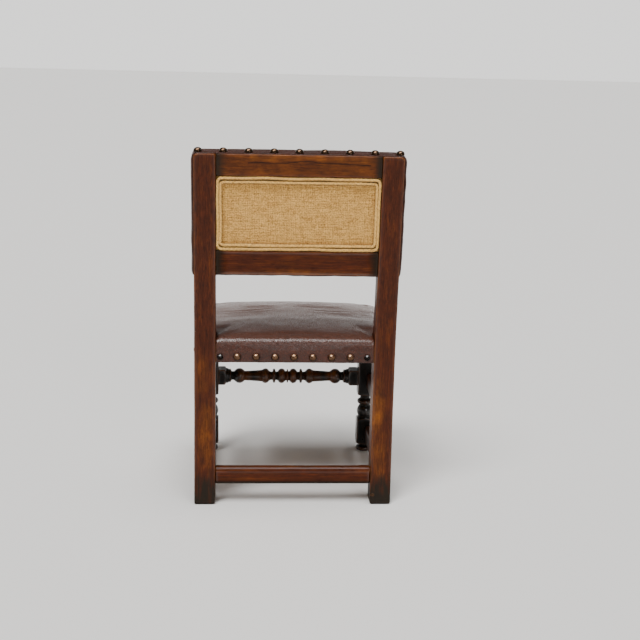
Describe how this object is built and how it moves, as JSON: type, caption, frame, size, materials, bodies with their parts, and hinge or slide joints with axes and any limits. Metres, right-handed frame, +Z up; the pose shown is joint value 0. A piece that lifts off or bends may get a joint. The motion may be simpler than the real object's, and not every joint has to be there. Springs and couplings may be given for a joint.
{
  "type": "kids chair",
  "caption": "Child's leather back stool with square raked rear posts, turned front legs and stretcher, domed nails and a hessian outside back.",
  "frame": {"origin": "centre of the chair's bounding box on the floor", "axes": "+Z up, the sitter faces -Y, the sitter's left hand is at +X"},
  "size_m": [0.3482, 0.3282, 0.6134],
  "materials": {
    "stained_wood": "reddish-brown stain under worn wax, satin",
    "dark_turned_wood": "near-black stain under wax, satin",
    "bare_wood": "unfinished, sawn",
    "webbing": "jute webbing, coarse",
    "base_cloth": "hessian, coarse",
    "stuffing": "fibre stuffing, matt",
    "leather": "dark brown hide, fine grain, semi-gloss",
    "hessian": "tan hessian, coarse plain weave",
    "nail_brass": "antiqued brass, domed, satin",
    "nail_black": "black japanned, gloss"
  },
  "bodies": {
    "root": {"rear_post_left": "stained_wood", "rear_post_right": "stained_wood", "crest_rail": "stained_wood", "lower_back_rail": "stained_wood", "rear_stretcher": "stained_wood", "side_stretcher_upper_left": "stained_wood", "side_stretcher_upper_right": "stained_wood", "side_stretcher_lower_left": "stained_wood", "side_stretcher_lower_right": "stained_wood", "front_leg_left": "dark_turned_wood", "front_leg_right": "dark_turned_wood", "front_stretcher": "dark_turned_wood", "seat_rail_front": "bare_wood", "seat_rail_rear": "bare_wood", "seat_rail_left": "bare_wood", "seat_rail_right": "bare_wood", "seat_corner_blocks": "bare_wood", "back_tacking_strips": "bare_wood", "seat_webbing": "webbing", "back_webbing": "webbing", "seat_base_cloth": "base_cloth", "back_base_cloth": "base_cloth", "seat_stuffing": "stuffing", "back_stuffing": "stuffing", "seat_leather": "leather", "back_leather": "leather", "back_cloth_panel": "hessian", "back_piping_outer": "hessian", "back_piping_inner": "hessian", "seat_nails_rear": "nail_brass", "seat_nails_front": "nail_brass", "seat_nails_left": "nail_brass", "seat_nails_right": "nail_brass", "back_nails_top": "nail_brass", "back_nails_front": "nail_brass", "seat_nails_rear_ends": "nail_black"}
  },
  "joints": []
}
